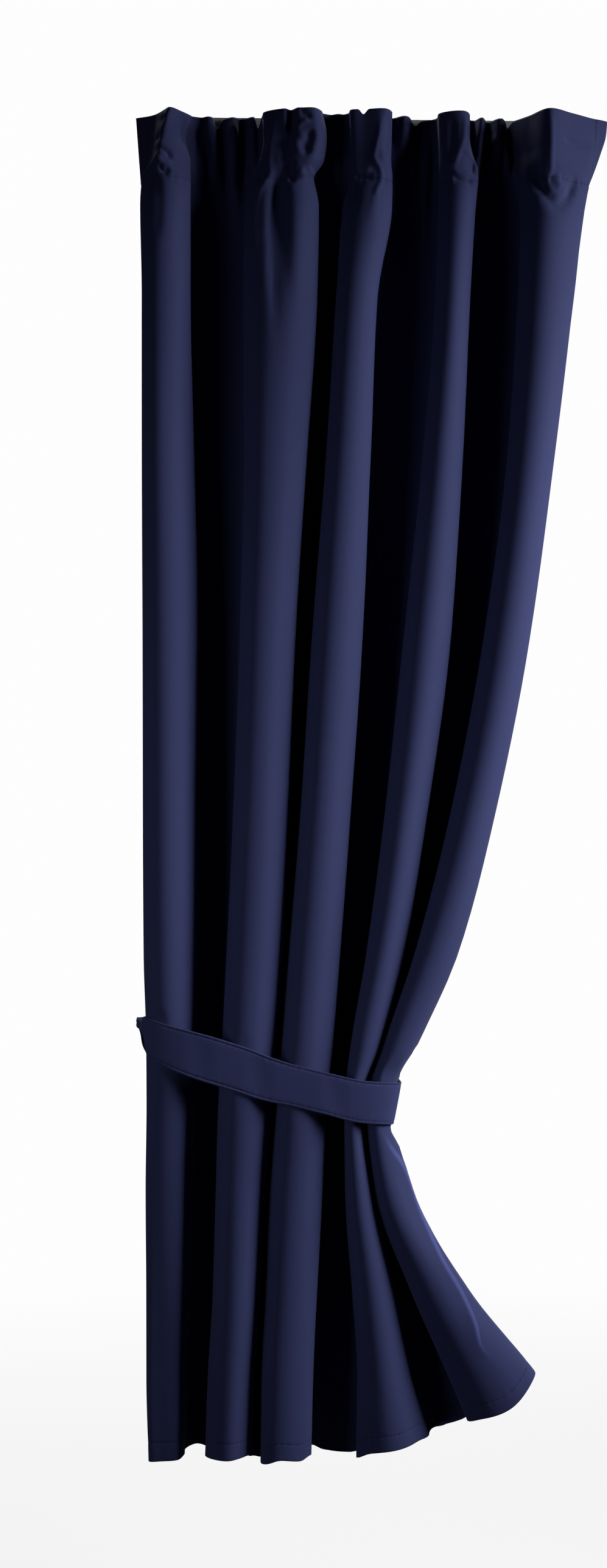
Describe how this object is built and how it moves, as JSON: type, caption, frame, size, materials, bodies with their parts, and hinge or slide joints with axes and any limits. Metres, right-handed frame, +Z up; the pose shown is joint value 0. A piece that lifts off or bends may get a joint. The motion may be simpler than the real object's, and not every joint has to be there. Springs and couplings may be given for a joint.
{
  "type": "velvet drape with tieback on ceiling rail",
  "caption": "Velvet drape with a gathered heading, hanging in deep folds from a slim ceiling rail and drawn aside by a flat velvet tieback band.",
  "frame": {"origin": "middle of the rail's top face, where it meets the ceiling", "axes": "+X along the rail to the right as seen from the room, -Y out into the room, +Z up"},
  "size_m": [0.8484, 0.1492, 2.3992],
  "materials": {
    "rail_metal": "plain warm grey, satin",
    "velvet": "navy velvet, short even pile with a soft sheen",
    "tieback_velvet": "navy velvet, folded double and pressed flat"
  },
  "bodies": {
    "root": {"rail": "rail_metal", "drape": "velvet", "tieback": "tieback_velvet"}
  },
  "joints": []
}
